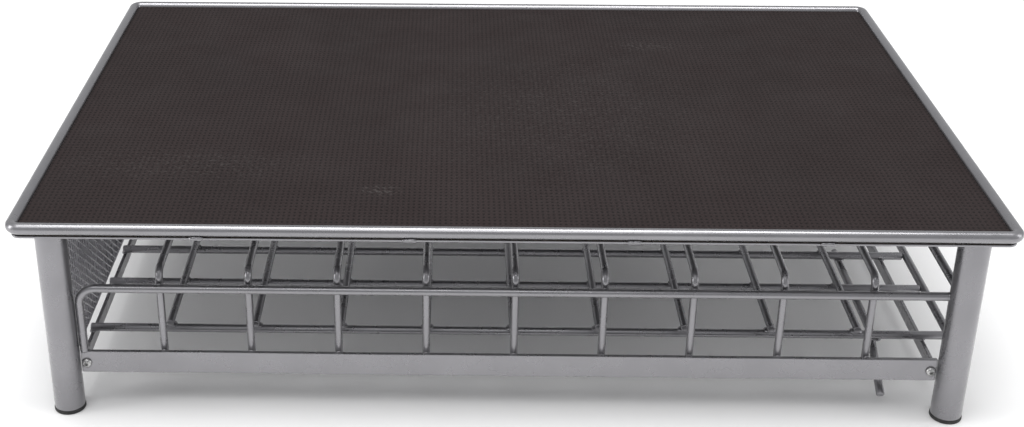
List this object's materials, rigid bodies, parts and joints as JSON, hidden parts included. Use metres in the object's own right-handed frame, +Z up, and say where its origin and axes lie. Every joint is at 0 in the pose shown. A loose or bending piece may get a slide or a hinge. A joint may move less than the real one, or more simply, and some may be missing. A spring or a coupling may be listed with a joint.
{
  "type": "monitor riser stand",
  "caption": "Low desk riser with a dark textured top in a silver round-rod ring, tube legs with rubber feet, a wire rack below and a mesh side panel.",
  "frame": {"origin": "on the desk surface, under the centre of the top", "axes": "+X to the right seen from the front, +Y to the rear, +Z up"},
  "size_m": [0.5, 0.33, 0.118],
  "materials": {
    "silver_paint": "satin silver-grey paint",
    "mesh_paint": "satin silver-grey paint on expanded mesh",
    "dark_mat": "matt, fine woven-look embossing",
    "board": "raw fibreboard, hidden",
    "black_rubber": "matt black",
    "plated_steel": "plated, slightly dull"
  },
  "bodies": {
    "root": {"bar_screw_front_left": "plated_steel", "bar_screw_front_right": "plated_steel", "bar_screw_rear_left": "plated_steel", "bar_screw_rear_right": "plated_steel", "foot_front_left": "black_rubber", "foot_front_right": "black_rubber", "foot_rear_left": "black_rubber", "foot_rear_right": "black_rubber", "front_bar": "silver_paint", "gallery_rod": "silver_paint", "gallery_wire_1": "silver_paint", "gallery_wire_2": "silver_paint", "gallery_wire_3": "silver_paint", "gallery_wire_4": "silver_paint", "gallery_wire_5": "silver_paint", "gallery_wire_6": "silver_paint", "gallery_wire_7": "silver_paint", "gallery_wire_8": "silver_paint", "gallery_wire_9": "silver_paint", "guard_rod_right": "silver_paint", "hook_rod": "silver_paint", "leg_front_left": "silver_paint", "leg_front_right": "silver_paint", "leg_rear_left": "silver_paint", "leg_rear_right": "silver_paint", "mesh_panel_left": "mesh_paint", "rack_cross_bar_1": "silver_paint", "rack_cross_bar_2": "silver_paint", "rack_cross_bar_3": "silver_paint", "rack_cross_bar_4": "silver_paint", "rack_cross_bar_5": "silver_paint", "rack_cross_bar_6": "silver_paint", "rack_rod_1": "silver_paint", "rack_rod_2": "silver_paint", "rack_rod_3": "silver_paint", "rack_rod_4": "silver_paint", "rack_rod_5": "silver_paint", "rack_rod_6": "silver_paint", "rack_rod_7": "silver_paint", "rack_rod_8": "silver_paint", "rack_rod_9": "silver_paint", "rack_side_rod": "silver_paint", "rear_bar": "silver_paint", "ring_weld_1": "silver_paint", "ring_weld_2": "silver_paint", "ring_weld_3": "silver_paint", "ring_weld_4": "silver_paint", "side_rail_left": "silver_paint", "side_rail_right": "silver_paint", "top_board": "board", "top_mat": "dark_mat", "top_panel": "silver_paint", "top_ring": "silver_paint", "upper_rear_rod": "silver_paint"}
  },
  "joints": []
}
